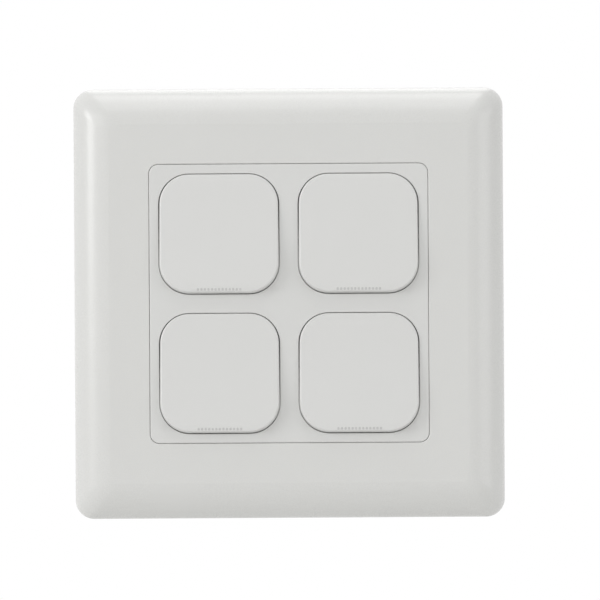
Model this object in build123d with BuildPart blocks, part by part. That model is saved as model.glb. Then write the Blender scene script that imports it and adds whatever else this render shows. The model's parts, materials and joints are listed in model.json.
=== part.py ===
from build123d import *
import os
from math import cos, radians, sin, tan

# Four-gang rocker light switch, a flush wall plate 86 mm square.
# Lengths are in millimetres and angles in degrees. X runs to the right, Z up and Y into the wall.
# The wall surface is the plane Y = 0, and the front of the switch faces -Y.

# Rockers
rocker_size = 23.85           # square skirt of one rocker
rocker_corner = 6.045         # corner radius of the skirt
rocker_flank = 1.5            # sloping sides between the face and the skirt
rocker_taper = 9.0            # slope of these sides
rocker_depth = 5.0            # face to the open edge of the skirt
rocker_cap = 1.6              # thickness of the face
rocker_wall = 1.5             # thickness of the skirt
rocker_tilt = 4.0             # to either side of level
rocker_proud = 0.8            # face in front of the insert when level
rocker_dish = 0.17            # hollow of the face, for the finger
rocker_lip = 1.7              # strip along top and bottom that rolls over
rocker_lip_radius = 6.0
rocker_lip_turn = 45.0        # the lip's arc runs on past the edge
rocker_edge = 0.3             # rounding of the face's edge
rocker_rib = 1.0              # ribs behind the face
rocker_rib_step = 0.4         # ribs stop short of the skirt's edge
pivot_depth = 2.7             # face to the pivot
trunnion_radius = 1.0
trunnion_play = 0.05          # running fit of a trunnion in its slot
trunnion_end_gap = 0.15       # between a trunnion's end and the end of its slot
tube_wall = 0.85              # plunger tube behind the rocker
tube_end = 0.9                # tube's end behind the wall surface
tube_seat = 0.2               # pivot to the floor of the tube, where the spring sits

# Insert with four wells
rocker_gap = 0.05             # between a rocker's skirt and the mouth of its well
well_bar = 3.7                # face between neighbouring wells
well_edge = 0.15              # rounding of a well's front edge
well_lip = 0.7                # depth of the narrow mouth
well_relief = 0.45            # extra room each way behind the mouth
slot_web = 0.7                # left between a trunnion slot and the cell's side
insert_corner = 1.85
insert_edge = 0.25            # rounding of the insert's front edge

# Mounting flange round the insert
flange_thickness = 2.5
flange_corner = 3.0
flange_rim_width = 1.4
flange_rim_height = 1.6
fixing_offset = 2.5           # side of the insert to a fixing hole
fixing_radius = 2.1
fixing_scallop = 3.7          # room for the wall screw's head
fixing_scallop_height = 4.5
boss_offset = 1.8             # side of the insert to a boss
boss_row = 20.0               # height of the bosses above and below centre
boss_radius = 2.6
boss_headroom = 0.8           # boss to the surround's collar in front of it
boss_cap = 0.6                # left over the blind hole
boss_grip = 0.05              # thread clearance round a housing screw
core_radius = 2.9             # coring where the bars cross
core_cap = 2.0

# Surround that clips over the flange
border_width = 15.35          # side of the insert to the outline
face_height = 9.0             # front face above the wall
rim_height = 1.6              # upright edge at the wall
band_width = 7.4              # rounded border
band_crease = 5.0             # angle left where the border meets the flat
band_sections = 7
outline_corner = 3.8
flat_corner = 1.6
surround_wall = 2.0
insert_gap = 0.06             # between the insert and the surround
aperture_edge = 0.25
collar_wall = 1.6             # collar round the aperture
collar_depth = 0.6
finger_row = 18.0             # snap fingers to either side of centre
finger_width = 8.0
finger_thickness = 1.5
finger_gap = 0.25             # between a finger and the flange
finger_room = 1.25            # space behind a finger to spring back
finger_tip = 0.4              # finger's end above the wall
barb_reach = 0.9
barb_height = 0.8
barb_gap = 0.15
rebate_side = 0.5             # rebate beyond each side of a barb
pry_width = 8.0               # notch in the bottom edge for prising the surround off
pry_height = 1.0

# Mechanism housing
floor_depth = 7.5             # wall surface to the floor of the housing
floor_thickness = 1.5
housing_wall = 1.8
housing_cross = 2.0           # walls between the cells
housing_side = 2.05           # wall beside the outer terminals
housing_end = 1.4             # end of the housing beyond the end of the insert
housing_corner = 2.0
housing_cell_corner = 1.2
housing_lip_inset = 0.2       # front lip inside the side of the insert
housing_lip = 1.5
ear_radius = 3.4
ear_thickness = 3.5
screw_hole_play = 0.35
row_guard = 0.7               # terminal rows stand proud of their screws
row_wall = 1.45               # wall on the inner side of the terminals
row_core_width = 6.0          # hollow between the inner terminals of a row
row_core_wall = 1.8

# Screws
screw_radius = 1.2
screw_head_radius = 2.7
screw_head_height = 1.7
screw_tip_gap = 0.8           # screw's end to the end of its hole
screw_slot_width = 0.7
screw_slot_depth = 0.7
clamp_radius = 1.2
clamp_head_radius = 2.3
clamp_head_height = 1.6
clamp_standoff = 0.7          # clamping screws are backed off by this much
clamp_play = 0.05

# Plunger and its spring
plunger_radius = 2.0
plunger_play = 0.05           # running fit in the tube
plunger_body = 5.0
plunger_neck = 1.0            # body to the centre of the tip
tip_radius = 1.2
tip_gap = 0.12                # least gap between the tip and the see-saw
spigot_radius = 0.9
spigot_length = 1.3
spring_radius = 1.45          # to the middle of the wire
spring_wire = 0.4
spring_turns = 4
spring_gap = 0.05             # each end to its seat

# See-saw and contacts
arm_width = 4.4
arm_tip = 1.2                 # wing beyond the middle of its contact
arm_thickness = 0.8
arm_wing = 10.0               # each wing leans towards the plunger
arm_tilt = 8.0                # to either side of level
arm_rise = 0.85               # pivot to the bottom of the V
arm_pin_radius = 0.7
arm_pin_play = 0.05
saddle_gap = 0.19             # level see-saw to the top of the saddle
saddle_length = 3.2
contact_reach = 5.8           # along a wing
contact_radius = 1.4
contact_height = 0.7
contact_stem = 0.7
contact_stem_play = 0.05
contact_gap = 0.05            # between closed contacts
fixed_radius = 1.5
fixed_height = 0.55
post_reach = 6.3              # rest post under the lower wing
post_width = 3.0
post_length = 2.0
post_gap = 0.06

# Terminals
strip_thickness = 0.8
strip_width = 4.0
strip_end = 1.5               # end of the block beyond the strip
pad_margin = 0.5              # strip round a fixed contact
terminal_offset = 6.0         # from the middle of the cell to a terminal's middle
block_width = 6.0
block_length = 6.6
block_height = 7.0
block_recess = 0.5            # block's end inside the end of the housing
block_play = 0.15
wire_radius = 2.0
wire_depth = 3.1              # front of the block to the middle of the wire hole

# What follows from them
well_size = rocker_size + 2 * rocker_gap
well_corner = rocker_corner + rocker_gap
pocket_size = well_size + 2 * well_relief
pocket_corner = well_corner + well_relief
cell_pitch = well_size + well_bar
insert_size = 2 * cell_pitch
insert_half = insert_size / 2
aperture_size = insert_size + 2 * insert_gap
aperture_corner = insert_corner + insert_gap
plate_size = insert_size + 2 * border_width
finger_outside = plate_size / 2 - surround_wall - finger_room
finger_inside = finger_outside - finger_thickness
flange_size = 2 * (finger_inside - finger_gap)
fixing_x = insert_half + fixing_offset
boss_x = insert_half + boss_offset
boss_height = face_height - surround_wall - collar_depth - boss_headroom
pivot_height = face_height + rocker_proud - pivot_depth
tube_reach = pivot_height + tube_end
slot_radius = trunnion_radius + trunnion_play
slot_reach = cell_pitch / 2 - slot_web
housing_x = cell_pitch / 2 + terminal_offset + block_width / 2 + block_play + housing_side
housing_z = insert_half + housing_end
floor_rear = floor_depth + floor_thickness
strip_front = floor_depth - strip_thickness
fixed_front = strip_front - fixed_height
bore_radius = plunger_radius + plunger_play
tube_radius = bore_radius + tube_wall
arm_length = contact_reach + arm_tip
cells = [(-1, 1), (1, 1), (-1, -1), (1, -1)]
cell_centres = [(column * cell_pitch / 2, row * cell_pitch / 2) for column, row in cells]
terminals = [(column * cell_pitch / 2 + side * terminal_offset, row)
             for column, row in cells for side in (-1, 1)]

# A closed see-saw leans by this much along its closing wing, and its contact then lies contact_gap
# off the fixed one, which sets the see-saw's pivot. The plunger's length follows from that pivot.
closed_lean = radians(arm_wing - arm_tilt)
contact_stack = arm_thickness + contact_height
closed_drop = contact_stack * cos(closed_lean) - contact_reach * sin(closed_lean)
closed_lift = contact_gap + contact_radius * abs(sin(closed_lean))
arm_pivot = fixed_front - closed_lift - closed_drop + arm_rise * cos(radians(arm_tilt))
contact_offset = (arm_rise * sin(radians(arm_tilt)) + contact_reach * cos(closed_lean)
                  + contact_stack * sin(closed_lean))
tip_reach = pivot_height + arm_pivot - arm_rise - (tip_radius + tip_gap) / cos(radians(arm_wing))
body_end = tip_reach - plunger_neck
body_top = body_end - plunger_body
saddle_front = arm_pivot + arm_thickness / cos(radians(arm_wing)) - arm_rise + saddle_gap
block_outside = housing_z - block_recess
strip_outside = block_outside - strip_end
block_middle = block_outside - block_length / 2
block_rear = floor_depth + block_height
pocket_inside = block_outside - block_length - block_play
wire_level = floor_depth + wire_depth
clamp_head_front = block_rear + clamp_standoff
clamp_head_rear = clamp_head_front + clamp_head_height
row_depth = clamp_head_rear + row_guard
row_height = housing_z - pocket_inside + row_wall
screw_length = ear_thickness + boss_height - boss_cap - screw_tip_gap

os.makedirs("parts", exist_ok=True)
wall = Plane.XZ


def level(depth):
    """Plane parallel to the wall, this far behind its surface."""
    return wall.offset(-depth)


def save(piece, name):
    """Label one piece and write it as a STEP file."""
    piece.label = name
    export_step(piece, f"parts/{name}.step")


# Surround
def domed_square(size, top, band, corner, top_corner):
    """Square block with an upright rim, lofted in along a quarter ellipse to its flat top."""
    full_turn = radians(90 - band_crease)
    with BuildPart() as dome:
        with BuildSketch(wall):
            RectangleRounded(size, size, corner)
        extrude(amount=rim_height)
        for section in range(band_sections + 1):
            turn = full_turn * section / band_sections
            inward = (1 - cos(turn)) / (1 - cos(full_turn))
            upward = sin(turn) / sin(full_turn)
            side = size - 2 * band * inward
            with BuildSketch(wall.offset(rim_height + (top - rim_height) * upward)):
                RectangleRounded(side, side, corner + (top_corner - corner) * inward)
        loft()
    return dome.part


surround_block = domed_square(plate_size, face_height, band_width, outline_corner, flat_corner)
surround_hollow = domed_square(
    plate_size - 2 * surround_wall,
    face_height - surround_wall,
    band_width - surround_wall,
    outline_corner - surround_wall,
    flat_corner,
)

# The hollow leaves out what stands inside the surround: the collar and the four snap fingers.
with BuildPart() as surround_cavity:
    add(surround_hollow)
    with BuildSketch(wall.offset(face_height - surround_wall - collar_depth)):
        RectangleRounded(
            aperture_size + 2 * collar_wall,
            aperture_size + 2 * collar_wall,
            aperture_corner + collar_wall,
        )
    extrude(amount=face_height, mode=Mode.SUBTRACT)
    with BuildSketch(wall.offset(finger_tip)):
        with GridLocations(2 * finger_row, finger_inside + finger_outside, 2, 2):
            Rectangle(finger_width, finger_thickness)
    extrude(amount=face_height, mode=Mode.SUBTRACT)
    for side in (-1, 1):
        with BuildSketch(Plane.YZ.offset(side * finger_row)):
            for end in (-1, 1):
                with BuildLine():
                    Polyline(
                        (-finger_tip, end * finger_inside),
                        (-finger_tip - barb_height, end * (finger_inside - barb_reach)),
                        (-finger_tip - barb_height, end * finger_inside),
                        close=True,
                    )
                make_face()
        extrude(amount=finger_width / 2, both=True, mode=Mode.SUBTRACT)

with BuildPart() as surround_frame:
    add(surround_block)
    add(surround_cavity.part, mode=Mode.SUBTRACT)
    with BuildSketch(wall):
        RectangleRounded(aperture_size, aperture_size, aperture_corner)
    extrude(amount=face_height, mode=Mode.SUBTRACT)
    front_flat = surround_frame.faces().filter_by(Axis.Y).sort_by(Axis.Y)[0]
    fillet(front_flat.inner_wires()[0].edges(), aperture_edge)
    with BuildSketch(wall):
        with Locations((0, -plate_size / 2)):
            Rectangle(pry_width, 2 * surround_wall)
    extrude(amount=pry_height, mode=Mode.SUBTRACT)

# Plate: the insert with its wells, standing on the flange that the wall screws hold
with BuildPart() as switch_plate:
    with BuildSketch(wall):
        RectangleRounded(flange_size, flange_size, flange_corner)
    extrude(amount=flange_thickness)
    with BuildSketch(wall.offset(flange_thickness)):
        RectangleRounded(flange_size, flange_size, flange_corner)
        RectangleRounded(
            flange_size - 2 * flange_rim_width,
            flange_size - 2 * flange_rim_width,
            flange_corner - flange_rim_width,
            mode=Mode.SUBTRACT,
        )
    extrude(amount=flange_rim_height)
    with BuildSketch(wall):
        RectangleRounded(insert_size, insert_size, insert_corner)
    extrude(amount=face_height)
    insert_front = switch_plate.faces().filter_by(Axis.Y).sort_by(Axis.Y)[0]
    fillet(insert_front.outer_wire().edges(), insert_edge)
    with BuildSketch(wall):
        with GridLocations(2 * boss_x, 2 * boss_row, 2, 2):
            Circle(boss_radius)
    extrude(amount=boss_height)
    with BuildSketch(wall):
        with GridLocations(cell_pitch, cell_pitch, 2, 2):
            RectangleRounded(pocket_size, pocket_size, pocket_corner)
    extrude(amount=face_height - well_lip, mode=Mode.SUBTRACT)
    with BuildSketch(wall):
        with GridLocations(cell_pitch, cell_pitch, 2, 2):
            RectangleRounded(well_size, well_size, well_corner)
    extrude(amount=face_height, mode=Mode.SUBTRACT)
    pierced_front = switch_plate.faces().filter_by(Axis.Y).sort_by(Axis.Y)[0]
    fillet([edge for mouth in pierced_front.inner_wires() for edge in mouth.edges()], well_edge)
    for x, z in cell_centres:
        with BuildSketch(Plane.YZ.offset(x)):
            with Locations((-pivot_height, z)):
                Circle(slot_radius)
            with Locations((-pivot_height / 2, z)):
                Rectangle(pivot_height, 2 * slot_radius)
        extrude(amount=slot_reach, both=True, mode=Mode.SUBTRACT)
    with BuildSketch(wall.offset(flange_thickness)):
        with GridLocations(2 * fixing_x, 0, 2, 1):
            Circle(fixing_scallop)
    extrude(amount=fixing_scallop_height, mode=Mode.SUBTRACT)
    with BuildSketch(wall):
        with GridLocations(2 * fixing_x, 0, 2, 1):
            Circle(fixing_radius)
    extrude(amount=flange_thickness, mode=Mode.SUBTRACT)
    with BuildSketch(wall):
        with GridLocations(2 * boss_x, 2 * boss_row, 2, 2):
            Circle(screw_radius + boss_grip)
    extrude(amount=boss_height - boss_cap, mode=Mode.SUBTRACT)
    with BuildSketch(wall):
        Circle(core_radius)
    extrude(amount=face_height - core_cap, mode=Mode.SUBTRACT)
    with BuildSketch(wall):
        with GridLocations(2 * finger_row, flange_size, 2, 2):
            Rectangle(
                finger_width + 2 * rebate_side,
                2 * (barb_reach + rebate_side - finger_gap),
            )
    extrude(amount=finger_tip + barb_height + barb_gap, mode=Mode.SUBTRACT)

# Rocker, built at the centre of the plate with its top pressed in, then placed in each cell
lean = radians(rocker_tilt)
rocker_pivot = (0, -pivot_height, 0)
rocker_plane = Plane(origin=rocker_pivot, x_dir=(1, 0, 0), z_dir=(0, -cos(lean), sin(lean)))
rocker_side = Plane(origin=rocker_pivot, x_dir=(0, sin(lean), cos(lean)), z_dir=(1, 0, 0))
rocker_crest = pivot_depth + rocker_dish + rocker_edge
rocker_shoulder = pivot_depth - rocker_flank
rocker_skirt = pivot_depth - rocker_depth
rocker_under = pivot_depth - rocker_cap
flank_slope = tan(radians(rocker_taper))

with BuildPart() as rocker:
    with BuildSketch(rocker_plane.offset(rocker_skirt)):
        RectangleRounded(rocker_size, rocker_size, rocker_corner)
    extrude(amount=rocker_shoulder - rocker_skirt)
    for out in (rocker_shoulder, rocker_crest):
        inset = (out - rocker_shoulder) * flank_slope
        with BuildSketch(rocker_plane.offset(out)):
            RectangleRounded(rocker_size - 2 * inset, rocker_size - 2 * inset, rocker_corner - inset)
    loft(ruled=True)
    with BuildSketch(rocker_side):
        with BuildLine():
            crest = rocker_size / 2 - rocker_flank * flank_slope - rocker_lip
            face = TangentArc((0, pivot_depth), (crest, pivot_depth + rocker_dish), tangent=(1, 0))
            lip = JernArc(face @ 1, face % 1, rocker_lip_radius, -rocker_lip_turn)
            Polyline(lip @ 1, ((lip @ 1).X, rocker_skirt), (0, rocker_skirt))
            mirror(about=Plane.YZ)
        make_face()
    extrude(amount=rocker_size, both=True, mode=Mode.INTERSECT)
    face_rim = rocker.edges(Select.NEW).filter_by(
        lambda edge: rocker_plane.to_local_coords(edge.center()).Z > rocker_under
    )
    fillet(face_rim, rocker_edge)
    with BuildSketch(rocker_plane.offset(rocker_skirt)):
        hollow_side = rocker_size - 2 * rocker_wall
        RectangleRounded(hollow_side, hollow_side, rocker_corner - rocker_wall)
    extrude(amount=rocker_under - rocker_skirt, mode=Mode.SUBTRACT)
    with BuildSketch(rocker_plane.offset(rocker_under)):
        Rectangle(rocker_size - rocker_wall, rocker_rib)
        Rectangle(rocker_rib, rocker_size - rocker_wall)
    extrude(amount=rocker_skirt + rocker_rib_step - rocker_under)
    with BuildSketch(rocker_plane.offset(rocker_under)):
        Circle(tube_radius)
    extrude(amount=-rocker_under - tube_reach)
    with BuildSketch(rocker_plane.offset(-tube_reach)):
        Circle(bore_radius)
    extrude(amount=tube_reach - tube_seat, mode=Mode.SUBTRACT)
    trunnion_root = rocker_size / 2 - rocker_wall / 2
    for side in (-1, 1):
        with BuildSketch(rocker_side.offset(side * trunnion_root)):
            Circle(trunnion_radius)
        extrude(amount=side * (slot_reach - trunnion_end_gap - trunnion_root))

# Plunger in the rocker's tube
with BuildPart() as plunger:
    with BuildSketch(rocker_side):
        with BuildLine():
            Polyline(
                (0, -tip_reach - tip_radius),
                (0, spigot_length - body_top),
                (spigot_radius, spigot_length - body_top),
                (spigot_radius, -body_top),
                (plunger_radius, -body_top),
                (plunger_radius, -body_end),
                (tip_radius, -body_end),
                (tip_radius, -tip_reach),
            )
            RadiusArc((tip_radius, -tip_reach), (0, -tip_reach - tip_radius), tip_radius)
        make_face()
    revolve(axis=Axis(rocker_pivot, rocker_plane.z_dir))

# Coil spring between the tube's floor and the plunger
spring_top = tube_seat + spring_gap + spring_wire / 2
spring_height = body_top - spring_gap - spring_wire / 2 - spring_top
spring_start = rocker_plane.offset(-spring_top).origin
with BuildPart() as plunger_spring:
    with BuildLine():
        coil = Helix(
            spring_height / spring_turns,
            spring_height,
            spring_radius,
            center=spring_start,
            direction=-rocker_plane.z_dir,
        )
    with BuildSketch(Plane(origin=coil @ 0, x_dir=rocker_plane.z_dir, z_dir=coil % 0)):
        Rectangle(spring_wire, spring_wire)
    sweep(is_frenet=True)

# See-saw, with its lower wing in and its upper wing out
sway = radians(arm_tilt)
arm_centre = (0, arm_pivot, 0)
arm_side = Plane(origin=arm_centre, x_dir=(0, -sin(sway), cos(sway)), z_dir=(1, 0, 0))
wing = radians(arm_wing)
wing_along = Vector(cos(wing), sin(wing))
wing_inward = Vector(sin(wing), -cos(wing))
contact_point = arm_side.from_local_coords(Vector(0, arm_rise) + wing_along * contact_reach)
contact_normal = arm_side.from_local_coords(wing_inward) - arm_side.origin
contact_plane = Plane(origin=contact_point, x_dir=(1, 0, 0), z_dir=contact_normal)

with BuildPart() as contact_arm:
    with BuildSketch(arm_side):
        with BuildLine():
            wing_end = Vector(0, arm_rise) + wing_along * arm_length
            Polyline(
                (0, arm_rise),
                wing_end,
                wing_end + wing_inward * arm_thickness,
                (0, arm_rise - arm_thickness / cos(wing)),
            )
            mirror(about=Plane.YZ)
        make_face()
        Circle(arm_pin_radius)
    extrude(amount=arm_width / 2, both=True)
    with BuildSketch(contact_plane):
        Circle(contact_stem + contact_stem_play)
    extrude(amount=arm_thickness, mode=Mode.SUBTRACT)

with BuildPart() as moving_contact:
    with BuildSketch(contact_plane):
        Circle(contact_stem)
    extrude(amount=arm_thickness)
    with BuildSketch(contact_plane.offset(arm_thickness)):
        Circle(contact_radius)
    extrude(amount=contact_height)

# Fixed contacts, riveted to the live strips
fixed_centres = [(x, z + contact_offset) for x, z in cell_centres]
with BuildPart() as fixed_contacts:
    with BuildSketch(level(strip_front)):
        with Locations(*fixed_centres):
            Circle(fixed_radius)
    extrude(amount=fixed_height)
    with BuildSketch(level(floor_depth)):
        with Locations(*fixed_centres):
            Circle(contact_stem)
    extrude(amount=strip_thickness)


# Terminals: a strip on the housing floor, with a drilled block at its outer end
def terminal_strip(x, row, side, pad_z, pad_length, pad_reach):
    """Strip from a pad in the cell to a block at terminal_offset beside it, with the block's holes."""
    block_x = x + side * terminal_offset
    leg_start = pad_z - row * pad_length / 2
    leg_end = row * strip_outside
    pad_width = terminal_offset + strip_width / 2 + pad_reach
    pad_x = block_x + side * (strip_width - pad_width) / 2
    with BuildPart() as terminal:
        with BuildSketch(level(floor_depth)):
            with Locations((block_x, (leg_start + leg_end) / 2)):
                Rectangle(strip_width, abs(leg_end - leg_start))
            with Locations((pad_x, pad_z)):
                Rectangle(pad_width, pad_length)
        extrude(amount=strip_thickness)
        with BuildSketch(level(floor_depth)):
            with Locations((block_x, row * block_middle)):
                Rectangle(block_width, block_length)
        extrude(amount=-block_height)
        with BuildSketch(Plane.XY.offset(row * block_outside)):
            with Locations((block_x, wire_level)):
                Circle(wire_radius)
        extrude(amount=-row * block_length, mode=Mode.SUBTRACT)
        with BuildSketch(level(block_rear)):
            with Locations((block_x, row * block_middle)):
                Circle(clamp_radius + clamp_play)
        extrude(amount=block_rear - wire_level, mode=Mode.SUBTRACT)
    return terminal.part


def common_terminal(x, z, row):
    """Terminal whose pad carries the saddle that the see-saw rocks on."""
    strip = terminal_strip(x, row, -1, z, saddle_length, arm_width / 2)
    with BuildPart() as terminal:
        add(strip)
        with BuildSketch(level(strip_front)):
            with Locations((x, z)):
                Rectangle(arm_width, saddle_length)
        extrude(amount=strip_front - saddle_front)
        with BuildSketch(Plane.YZ.offset(x)):
            with Locations((arm_pivot, z)):
                Circle(arm_pin_radius + arm_pin_play)
        extrude(amount=arm_width, both=True, mode=Mode.SUBTRACT)
    return terminal.part


def live_terminal(x, z, row):
    """Terminal whose pad carries the fixed contact."""
    pad_z = z + contact_offset
    pad_reach = fixed_radius + pad_margin
    strip = terminal_strip(x, row, 1, pad_z, 2 * pad_reach, pad_reach)
    with BuildPart() as terminal:
        add(strip)
        with BuildSketch(level(floor_depth)):
            with Locations((x, pad_z)):
                Circle(contact_stem + contact_stem_play)
        extrude(amount=strip_thickness, mode=Mode.SUBTRACT)
    return terminal.part


# Clamping screws, backed off so that the wire holes are clear
terminal_centres = [(x, row * block_middle) for x, row in terminals]
with BuildPart() as terminal_screws:
    with BuildSketch(level(clamp_head_rear)):
        with Locations(*terminal_centres):
            Circle(clamp_head_radius)
    extrude(amount=clamp_head_height)
    with BuildSketch(level(clamp_head_front)):
        with Locations(*terminal_centres):
            Circle(clamp_radius)
    extrude(amount=clamp_head_front - wire_level - wire_radius)
    with BuildSketch(level(clamp_head_rear)):
        with Locations(*terminal_centres):
            Rectangle(2 * clamp_head_radius, screw_slot_width)
    extrude(amount=screw_slot_depth, mode=Mode.SUBTRACT)

# Housing: four cells open to the front, terminal rows behind them at top and bottom
cell_width = housing_x - housing_wall - housing_cross / 2
cell_height = housing_z - housing_wall - housing_cross / 2
with BuildPart() as mechanism_housing:
    with BuildSketch(wall):
        RectangleRounded(2 * housing_x, 2 * housing_z, housing_corner)
    extrude(amount=-floor_rear)
    with BuildSketch(wall):
        RectangleRounded(2 * (insert_half - housing_lip_inset), 2 * housing_z, housing_corner)
        with GridLocations(2 * fixing_x, 0, 2, 1):
            Circle(fixing_scallop, mode=Mode.SUBTRACT)
    extrude(amount=-housing_lip)
    with BuildSketch(level(floor_rear)):
        with GridLocations(0, 2 * housing_z - row_height, 1, 2):
            RectangleRounded(2 * housing_x, row_height, housing_corner)
    extrude(amount=floor_rear - row_depth)
    with BuildSketch(wall):
        with GridLocations(2 * boss_x, 2 * boss_row, 2, 2):
            Circle(ear_radius)
        with GridLocations(2 * (boss_x - (boss_x - housing_x) / 2), 2 * boss_row, 2, 2):
            Rectangle(boss_x - housing_x, 2 * ear_radius)
    extrude(amount=-ear_thickness)
    with BuildSketch(wall):
        with GridLocations(cell_width + housing_cross, cell_height + housing_cross, 2, 2):
            RectangleRounded(cell_width, cell_height, housing_cell_corner)
    extrude(amount=-floor_depth, mode=Mode.SUBTRACT)
    with BuildSketch(wall):
        with GridLocations(2 * boss_x, 2 * boss_row, 2, 2):
            Circle(screw_radius + screw_hole_play)
    extrude(amount=-ear_thickness, mode=Mode.SUBTRACT)
    with BuildSketch(level(floor_depth)):
        with Locations(*[(x, row * (pocket_inside + housing_z) / 2) for x, row in terminals]):
            Rectangle(block_width + 2 * block_play, housing_z - pocket_inside)
    extrude(amount=floor_depth - row_depth, mode=Mode.SUBTRACT)
    with BuildSketch(level(row_depth)):
        with GridLocations(0, 2 * housing_z - row_height, 1, 2):
            RectangleRounded(row_core_width, row_height - 2 * row_core_wall, housing_cell_corner)
    extrude(amount=row_depth - floor_rear, mode=Mode.SUBTRACT)
    post_lean = radians(arm_wing - arm_tilt)
    post_front = (arm_pivot - arm_rise * cos(sway) - post_reach * sin(post_lean)
                  + arm_thickness * cos(post_lean) + post_gap)
    with BuildSketch(level(floor_depth)):
        with Locations(*[(x, z - post_reach) for x, z in cell_centres]):
            Rectangle(post_width, post_length)
    extrude(amount=floor_depth - post_front)

# Screws from the rear through the housing's ears into the plate's bosses
boss_centres = [(column * boss_x, row * boss_row) for column, row in cells]
with BuildPart() as housing_screws:
    with BuildSketch(level(ear_thickness + screw_head_height)):
        with Locations(*boss_centres):
            Circle(screw_head_radius)
    extrude(amount=screw_head_height)
    with BuildSketch(level(ear_thickness)):
        with Locations(*boss_centres):
            Circle(screw_radius)
    extrude(amount=screw_length)
    with BuildSketch(level(ear_thickness + screw_head_height)):
        with Locations(*boss_centres):
            Rectangle(2 * screw_head_radius, screw_slot_width)
    extrude(amount=screw_slot_depth, mode=Mode.SUBTRACT)

# Every piece in its place
save(surround_frame.part, "surround_frame")
save(switch_plate.part, "switch_plate")
save(mechanism_housing.part, "mechanism_housing")
save(housing_screws.part, "housing_screws")
save(terminal_screws.part, "terminal_screws")
save(fixed_contacts.part, "fixed_contacts")
for gang, ((x, z), (column, row)) in enumerate(zip(cell_centres, cells), start=1):
    cell = Location((x, 0, z))
    save(rocker.part.moved(cell), f"rocker_{gang}")
    save(plunger.part.moved(cell), f"plunger_{gang}")
    save(plunger_spring.part.moved(cell), f"plunger_spring_{gang}")
    save(contact_arm.part.moved(cell), f"contact_arm_{gang}")
    save(moving_contact.part.moved(cell), f"moving_contact_{gang}")
    save(common_terminal(x, z, row), f"common_terminal_{gang}")
    save(live_terminal(x, z, row), f"live_terminal_{gang}")
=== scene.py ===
import json
import bmesh
import bpy
import numpy as np
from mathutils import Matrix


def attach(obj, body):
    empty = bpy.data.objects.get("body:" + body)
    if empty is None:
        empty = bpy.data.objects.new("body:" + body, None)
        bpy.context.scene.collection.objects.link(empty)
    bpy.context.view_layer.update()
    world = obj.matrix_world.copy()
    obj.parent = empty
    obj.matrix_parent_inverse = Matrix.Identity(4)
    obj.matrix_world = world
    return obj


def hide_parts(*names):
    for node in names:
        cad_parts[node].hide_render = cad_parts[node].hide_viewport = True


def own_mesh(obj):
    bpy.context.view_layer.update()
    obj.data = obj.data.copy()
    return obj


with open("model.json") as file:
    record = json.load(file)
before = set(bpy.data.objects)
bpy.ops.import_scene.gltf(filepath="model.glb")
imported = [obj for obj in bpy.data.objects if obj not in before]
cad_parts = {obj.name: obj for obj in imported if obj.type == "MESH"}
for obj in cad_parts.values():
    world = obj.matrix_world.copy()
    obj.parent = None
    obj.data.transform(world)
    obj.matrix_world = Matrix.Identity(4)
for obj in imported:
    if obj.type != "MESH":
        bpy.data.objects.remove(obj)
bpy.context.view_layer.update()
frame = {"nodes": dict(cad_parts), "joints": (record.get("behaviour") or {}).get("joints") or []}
gangs = (1, 2, 3, 4)

# Surround: the square outer frame, injection moulded in white urea plastic with a satin face.
# Its border rolls over from an upright rim to the flat, and it snaps over the plate's flange.
surround_pale = (0.716, 0.716, 0.701, 1)
surround_shade = (0.694, 0.694, 0.676, 1)


class Wire:
    """An output socket of a finish. Sums on it add Math nodes, and node() adds any other kind."""

    def __init__(self, socket):
        self.socket = socket

    def node(self, kind, settings, sockets, outlet=0):
        """Wire from a new node of this kind: its settings are made first, then its sockets are filled."""
        tree = self.socket.id_data
        made = tree.nodes.new(kind)
        for key, value in settings.items():
            setattr(made, key, value)
        for key, value in sockets.items():
            if isinstance(value, Wire):
                tree.links.new(value.socket, made.inputs[key])
            else:
                made.inputs[key].default_value = value
        return Wire(made.outputs[outlet])

    def sum(self, operation, first, second):
        return self.node("ShaderNodeMath", {"operation": operation}, {0: first, 1: second})

    def __add__(self, other):
        return self.sum("ADD", self, other)

    __radd__ = __add__

    def __sub__(self, other):
        return self.sum("SUBTRACT", self, other)

    def __rsub__(self, other):
        return self.sum("SUBTRACT", other, self)

    def __mul__(self, other):
        return self.sum("MULTIPLY", self, other)

    __rmul__ = __mul__

    def ramp(self, start, end):
        """Value that runs smoothly from 0 to 1 as this one runs from the start to the end."""
        smooth = {"interpolation_type": "SMOOTHSTEP"}
        return self.node("ShaderNodeMapRange", smooth, {0: self, 1: start, 2: end})

    def noise(self, scale, detail):
        """Cloudy value between 0 and 1, with this many clouds to a metre."""
        return self.node("ShaderNodeTexNoise", {}, {"Vector": self, "Scale": scale, "Detail": detail})

    def mix(self, first, second):
        """Colour that runs from the first to the second as this value runs from 0 to 1."""
        colours = {"data_type": "RGBA"}
        return self.node("ShaderNodeMix", colours, {0: self, 6: first, 7: second}, 2)

    def raised(self, distance):
        """Normal of a surface that this value lifts by up to the distance, in metres."""
        return self.node("ShaderNodeBump", {}, {"Height": self, "Distance": distance})

    def feeds(self, shader, socket):
        self.socket.id_data.links.new(self.socket, shader.inputs[socket])


def finish(name, **constants):
    """New material with these constants on its shader: the material, the shader and object places."""
    material = bpy.data.materials.new(name)
    material.use_nodes = True
    shader = material.node_tree.nodes["Principled BSDF"]
    for socket, value in constants.items():
        shader.inputs[socket.replace("_", " ").title()].default_value = value
    places = material.node_tree.nodes.new("ShaderNodeTexCoord").outputs["Object"]
    return material, shader, Wire(places)


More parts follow.
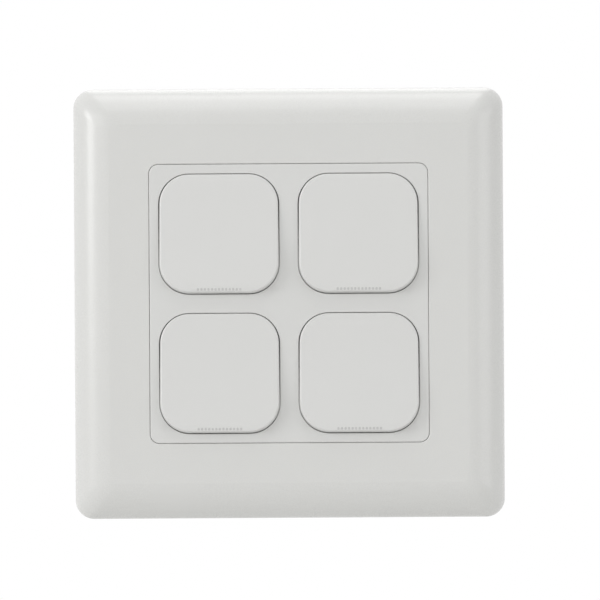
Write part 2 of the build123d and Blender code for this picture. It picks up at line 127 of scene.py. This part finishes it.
def moulded_white(name, pale, shade, gloss, grain_height):
    """White plastic from a polished mould: faint flow clouds, a fine eroded grain, an even satin gloss."""
    material, shader, place = finish(name)
    flow = place.noise(55, 3)
    grain = place.noise(7000, 2)
    flow.mix(pale, shade).feeds(shader, "Base Color")
    (gloss + 0.06 * grain + 0.05 * flow).feeds(shader, "Roughness")
    grain.raised(grain_height).feeds(shader, "Normal")
    return material


def dress(material, *names):
    """Give CAD nodes this finish in place of the plain one that they came with."""
    for name in names:
        frame["nodes"][name].data.materials.clear()
        frame["nodes"][name].data.materials.append(material)


surround_white = moulded_white("surround_white", surround_pale, surround_shade, 0.22, 1.5e-6)
dress(surround_white, "surround_frame")

# Plate: the white moulding behind the surround. Its raised insert fills the surround's opening with
# four wells for the rockers, and its flange carries the wall screws and the housing's bosses.
plate_pale = (0.712, 0.713, 0.700, 1)
plate_shade = (0.690, 0.691, 0.677, 1)
plate_white = moulded_white("plate_white", plate_pale, plate_shade, 0.27, 2e-6)
dress(plate_white, "switch_plate")

# Rockers: four white moulded caps, each on two trunnions in its well. The face is dished for the
# finger and rolls over at top and bottom. At rest every top is pressed in.
rocker_pale = (0.726, 0.726, 0.714, 1)
rocker_shade = (0.704, 0.704, 0.690, 1)
rocker_white = moulded_white("rocker_white", rocker_pale, rocker_shade, 0.24, 1.5e-6)
dress(rocker_white, *[f"rocker_{gang}" for gang in gangs])

# Touch ribs: a row of small rounded bars along each rocker's lower lip, moulded with the face and
# rubbed in with grey. They are low, so that they show only as a faint line.
rocker_lean = np.radians(4)
face_depth = 0.0027
dish_radius = 0.29346
crest = 0.0099874
lip_radius = 0.006
rib_row = -0.0112
rib_count = 13
rib_pitch = 0.00070
rib_half_width = 0.00022
rib_half_height = 0.00026
rib_rise = 0.00006
rib_pale = (0.580, 0.580, 0.572, 1)
rib_shade = (0.548, 0.548, 0.540, 1)
rib_grey = moulded_white("rib_grey", rib_pale, rib_shade, 0.34, 1.5e-6)


def wrapped(grid):
    """Corners and quads of a grid of points, closed round its second way; its ends meet in poles."""
    rows, columns = grid.shape[:2]
    order = np.arange(rows * columns).reshape(rows, columns)
    here, after = order[:-1], order[1:]
    quads = np.stack([here, np.roll(here, -1, 1), np.roll(after, -1, 1), after], -1).reshape(-1, 4)
    points = grid.reshape(-1, 3)
    a, b, c, d = (points[quads[:, k]] for k in range(4))
    inside = np.einsum("ij,ij->", a, np.cross(b, c) + np.cross(c, d))
    return points, quads if inside > 0 else quads[:, ::-1]


def piece(name, shells, material, body):
    """Object of one or more closed shells, shaded smooth up to a crease, riding on a CAD body."""
    starts = np.cumsum([0] + [len(points) for points, quads in shells[:-1]])
    corners = np.concatenate([points for points, quads in shells])
    faces = np.concatenate([quads + start for (points, quads), start in zip(shells, starts)])
    mesh = bpy.data.meshes.new(name)
    mesh.from_pydata(corners.tolist(), [], faces.tolist())
    merged = bmesh.new()
    merged.from_mesh(mesh)
    bmesh.ops.remove_doubles(merged, verts=merged.verts, dist=2e-8)
    merged.to_mesh(mesh)
    merged.free()
    mesh.shade_smooth()
    mesh.set_sharp_from_angle(angle=np.radians(35))
    mesh.materials.append(material)
    made = bpy.data.objects.new(name, mesh)
    bpy.context.scene.collection.objects.link(made)
    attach(made, body)
    return made


def face_out(up):
    """Height of a rocker's face over its pivot: a hollow arc, then a lip that rolls over past the crest."""
    away = np.abs(up)
    slope = np.arcsin(crest / dish_radius)
    hollow = face_depth + dish_radius - np.sqrt(dish_radius**2 - np.minimum(away, crest) ** 2)
    past = np.maximum(away - crest, 0) - lip_radius * np.sin(slope)
    rolled = np.sqrt(lip_radius**2 - past**2) - lip_radius * np.cos(slope)
    return hollow + np.where(away > crest, rolled, 0)


def touch_rib(across, pivot):
    """A rib as a flattened ball: a rounded-oblong outline scaled by the cosine of a latitude, and a
    height by its sine, laid on the rocker's face and turned with it about the pivot."""
    latitude = np.linspace(np.pi / 2, -np.pi / 2, 13)[:, None]
    around = np.linspace(0, 2 * np.pi, 24, endpoint=False)[None, :]
    cosine, sine = np.cos(around), np.sin(around)
    x = across + rib_half_width * np.cos(latitude) * np.sign(cosine) * np.abs(cosine) ** 0.6
    up = rib_row + rib_half_height * np.cos(latitude) * np.sign(sine) * np.abs(sine) ** 0.6
    out = face_out(up) + rib_rise * np.sin(latitude)
    y = pivot[1] - out * np.cos(rocker_lean) + up * np.sin(rocker_lean)
    z = pivot[2] + out * np.sin(rocker_lean) + up * np.cos(rocker_lean)
    return wrapped(np.stack([pivot[0] + x, y, z], -1))


pivots = {joint["child"]: joint["pos_m"] for joint in frame["joints"] if joint["name"].startswith("rocker")}
rib_places = (np.arange(rib_count) - (rib_count - 1) / 2) * rib_pitch
for gang in gangs:
    ribs = [touch_rib(across, pivots[f"rocker_{gang}"]) for across in rib_places]
    piece(f"touch_ribs_{gang}", ribs, rib_grey, f"rocker_{gang}")

# Mechanism housing: the dark box behind the plate, moulded in glass-filled thermoset. It is matt
# from a spark-eroded mould, with pale fibre specks, and holds the terminals in two rows.
housing_dark = (0.070, 0.070, 0.078, 1)
housing_light = (0.105, 0.105, 0.115, 1)
housing_speck = (0.210, 0.210, 0.215, 1)
housing_black, shader, place = finish("housing_black")
cloud = place.noise(140, 4)
erosion = place.noise(3600, 3)
specks = place.noise(5200, 1)
ground = cloud.mix(housing_dark, housing_light)
(0.6 * specks.ramp(0.64, 0.74)).mix(ground, housing_speck).feeds(shader, "Base Color")
(0.48 + 0.22 * erosion).feeds(shader, "Roughness")
erosion.raised(9e-6).feeds(shader, "Normal")
dress(housing_black, "mechanism_housing")

# Housing and clamping screws: slotted steel screws, cold headed and zinc plated. Four hold the housing
# to the plate from the rear, and eight clamp the wires in the terminals.
zinc_cool = (0.60, 0.61, 0.64, 1)
zinc_warm = (0.63, 0.60, 0.52, 1)
screw_zinc, shader, place = finish("screw_zinc", metallic=1)
bloom = place.noise(420, 3)
crystals = place.noise(5200, 2)
bloom.mix(zinc_cool, zinc_warm).feeds(shader, "Base Color")
(0.24 + 0.16 * crystals + 0.12 * bloom).feeds(shader, "Roughness")
crystals.raised(2.5e-6).feeds(shader, "Normal")
dress(screw_zinc, "housing_screws", "terminal_screws")

# Terminals and see-saws: stamped from rolled brass strip, so that fine lines run along the strip,
# with faint tarnish. The blocks at the strips' ends are drilled for the wire.
brass_bright = (0.74, 0.54, 0.25, 1)
brass_tarnish = (0.56, 0.38, 0.17, 1)
strip_brass, shader, place = finish("strip_brass", metallic=1)
lines = place.node("ShaderNodeMapping", {}, {"Vector": place, "Scale": (9000, 2600, 500)}).noise(1, 2)
tarnish = place.noise(260, 4)
tarnish.mix(brass_bright, brass_tarnish).feeds(shader, "Base Color")
(0.20 + 0.14 * lines + 0.16 * tarnish).feeds(shader, "Roughness")
lines.raised(2e-6).feeds(shader, "Normal")
for kind in ("common_terminal", "live_terminal", "contact_arm"):
    dress(strip_brass, *[f"{kind}_{gang}" for gang in gangs])

# Contacts: silver-alloy rivets, cold headed, one on each see-saw and one under it.
# Use leaves them slightly dull.
silver_clean = (0.82, 0.82, 0.80, 1)
silver_dull = (0.62, 0.60, 0.56, 1)
contact_silver, shader, place = finish("contact_silver", metallic=1)
dulling = place.noise(900, 4)
dulling.mix(silver_clean, silver_dull).feeds(shader, "Base Color")
(0.18 + 0.3 * dulling).feeds(shader, "Roughness")
dulling.raised(2e-6).feeds(shader, "Normal")
dress(contact_silver, "fixed_contacts", *[f"moving_contact_{gang}" for gang in gangs])

# Plungers: turned nylon pins with a round tip, one in the tube behind each rocker.
# The nylon is creamy, and slightly polished where it slides.
nylon_cream = (0.76, 0.74, 0.68, 1)
nylon_deep = (0.70, 0.67, 0.59, 1)
plunger_nylon, shader, place = finish("plunger_nylon")
turning = place.noise(300, 3)
turning.mix(nylon_cream, nylon_deep).feeds(shader, "Base Color")
(0.34 + 0.18 * turning).feeds(shader, "Roughness")
place.noise(4200, 2).raised(2e-6).feeds(shader, "Normal")
dress(plunger_nylon, *[f"plunger_{gang}" for gang in gangs])

# Springs: round steel wire coiled in four turns between each tube's floor and its plunger.
# In use they shorten as the plunger is pushed up its tube; here each is one fixed coil that rides with its
# rocker.
wire_radius = 0.0002
coil_radius = 0.00145
coil_turns = 4
coil_top = 0.00045
coil_height = 0.0038058
wire_bright = (0.55, 0.56, 0.58, 1)
wire_dark = (0.38, 0.38, 0.40, 1)
spring_steel, shader, place = finish("spring_steel", metallic=1)
draw = place.noise(1800, 3)
draw.mix(wire_bright, wire_dark).feeds(shader, "Base Color")
(0.22 + 0.2 * draw).feeds(shader, "Roughness")


def coil(pivot):
    """A circle of wire carried along a helix about the rocker's tube, square to the tube's radius,
    with its ends drawn to a point."""
    turn = np.linspace(0, 2 * np.pi * coil_turns, 48 * coil_turns + 1)
    turn = np.concatenate([turn[:1], turn, turn[-1:]])[:, None]
    wire = np.full_like(turn, wire_radius)
    wire[[0, -1]] = 0
    around = np.linspace(0, 2 * np.pi, 12, endpoint=False)[None, :]
    reach = coil_radius + wire * np.cos(around)
    into = coil_top + coil_height * turn / turn.max() + wire * np.sin(around)
    x = reach * np.cos(turn)
    up = reach * np.sin(turn)
    y = pivot[1] + into * np.cos(rocker_lean) + up * np.sin(rocker_lean)
    z = pivot[2] - into * np.sin(rocker_lean) + up * np.cos(rocker_lean)
    return wrapped(np.stack([pivot[0] + x, y, z], -1))


for gang in gangs:
    pivot = pivots[f"rocker_{gang}"]
    spring = piece(f"coil_{gang}", [coil(pivot)], spring_steel, f"rocker_{gang}")
    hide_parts(f"plunger_spring_{gang}")
    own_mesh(spring)

# Floor: a plain pale sweep well below the switch, which hangs on a wall. It takes the soft shadow near
# the switch, and further off the camera sees it as the white of the background.
floor_level = -0.16
floor_reach = 8.0
white_start = 0.22
white_end = 0.44
floor_pale = (0.82, 0.82, 0.81, 1)


def seen(tree):
    """Value of 1 for rays of the camera and those that a mirror or glass sends on, else 0."""
    rays = tree.nodes.new("ShaderNodeLightPath").outputs
    kinds = Wire(rays["Is Camera Ray"]) + Wire(rays["Is Glossy Ray"]) + Wire(rays["Is Transmission Ray"])
    return kinds.sum("MINIMUM", kinds, 1)


floor_material, shader, place = finish("floor_pale", base_color=floor_pale, roughness=0.9)
away = place.node("ShaderNodeVectorMath", {"operation": "LENGTH"}, {0: place}, 1)
share = seen(floor_material.node_tree) * away.ramp(white_start, white_end)
white = place.node("ShaderNodeEmission", {}, {"Color": (1, 1, 1, 1), "Strength": 1})
blend = place.node("ShaderNodeMixShader", {}, {0: share, 1: Wire(shader.outputs[0]), 2: white})
blend.feeds(floor_material.node_tree.nodes["Material Output"], "Surface")
floor_mesh = bpy.data.meshes.new("floor")
floor_square = np.array([[-1, -1, 0], [1, -1, 0], [1, 1, 0], [-1, 1, 0]])
floor_corners = floor_square * floor_reach + [0, 0, floor_level]
floor_mesh.from_pydata(floor_corners.tolist(), [], [[0, 1, 2, 3]])
floor_mesh.materials.append(floor_material)
floor = bpy.data.objects.new("floor", floor_mesh)
bpy.context.scene.collection.objects.link(floor)

# Light: soft boxes in a white studio, the strongest on the left, with others round and above the switch.
# The studio's walls show white to the camera and in reflections, and light the switch more weakly.
studio_light = 0.48
boxes = {
    "left_box": ((-1.05, -0.50, 0.25), 0.45, 4.25),
    "key_box": ((-0.65, -0.95, 0.40), 0.50, 1.2),
    "right_box": ((1.0, -0.6, 0.15), 0.70, 2.6),
    "top_box": ((0.0, 0.10, 1.0), 0.45, 1.85),
    "front_top_box": ((0.0, -0.45, 1.05), 0.50, 1.4),
    "rear_box": ((0.0, 0.75, 0.75), 0.60, 1.5),
}
world = bpy.data.worlds.new("studio")
world.use_nodes = True
bpy.context.scene.world = world
background = world.node_tree.nodes["Background"]
background.inputs["Color"].default_value = (1, 1, 1, 1)
(studio_light + (1 - studio_light) * seen(world.node_tree)).feeds(background, "Strength")
for name, (middle, width, power) in boxes.items():
    lamp = bpy.data.lights.new(name, "AREA")
    lamp.shape = "SQUARE"
    lamp.size = width
    lamp.energy = power
    box = bpy.data.objects.new(name, lamp)
    box.location = middle
    box.rotation_mode = "QUATERNION"
    box.rotation_quaternion = (-box.location).to_track_quat("-Z", "Y")
    bpy.context.scene.collection.objects.link(box)
bpy.context.scene.view_settings.view_transform = "Standard"

# Camera: square on to the switch and rolled a third of a degree, with a long lens. The switch lies a little
# left of and below the middle of the picture, whose width is that at the surround's upright rim.
camera_distance = 0.6916
picture_width = 0.12025
rim_out = 0.0016
sensor_width = 36
camera_aside = 0.00218
camera_above = 0.00063
camera_roll = np.radians(0.345)
lens = bpy.data.cameras.new("camera")
lens.sensor_width = sensor_width
lens.lens = sensor_width * (camera_distance - rim_out) / picture_width
lens.clip_start = 0.01
lens.clip_end = 30
camera = bpy.data.objects.new("camera", lens)
camera.location = (camera_aside, -camera_distance, camera_above)
camera.rotation_euler = (np.pi / 2, camera_roll, 0)
bpy.context.scene.collection.objects.link(camera)
bpy.context.scene.camera = camera
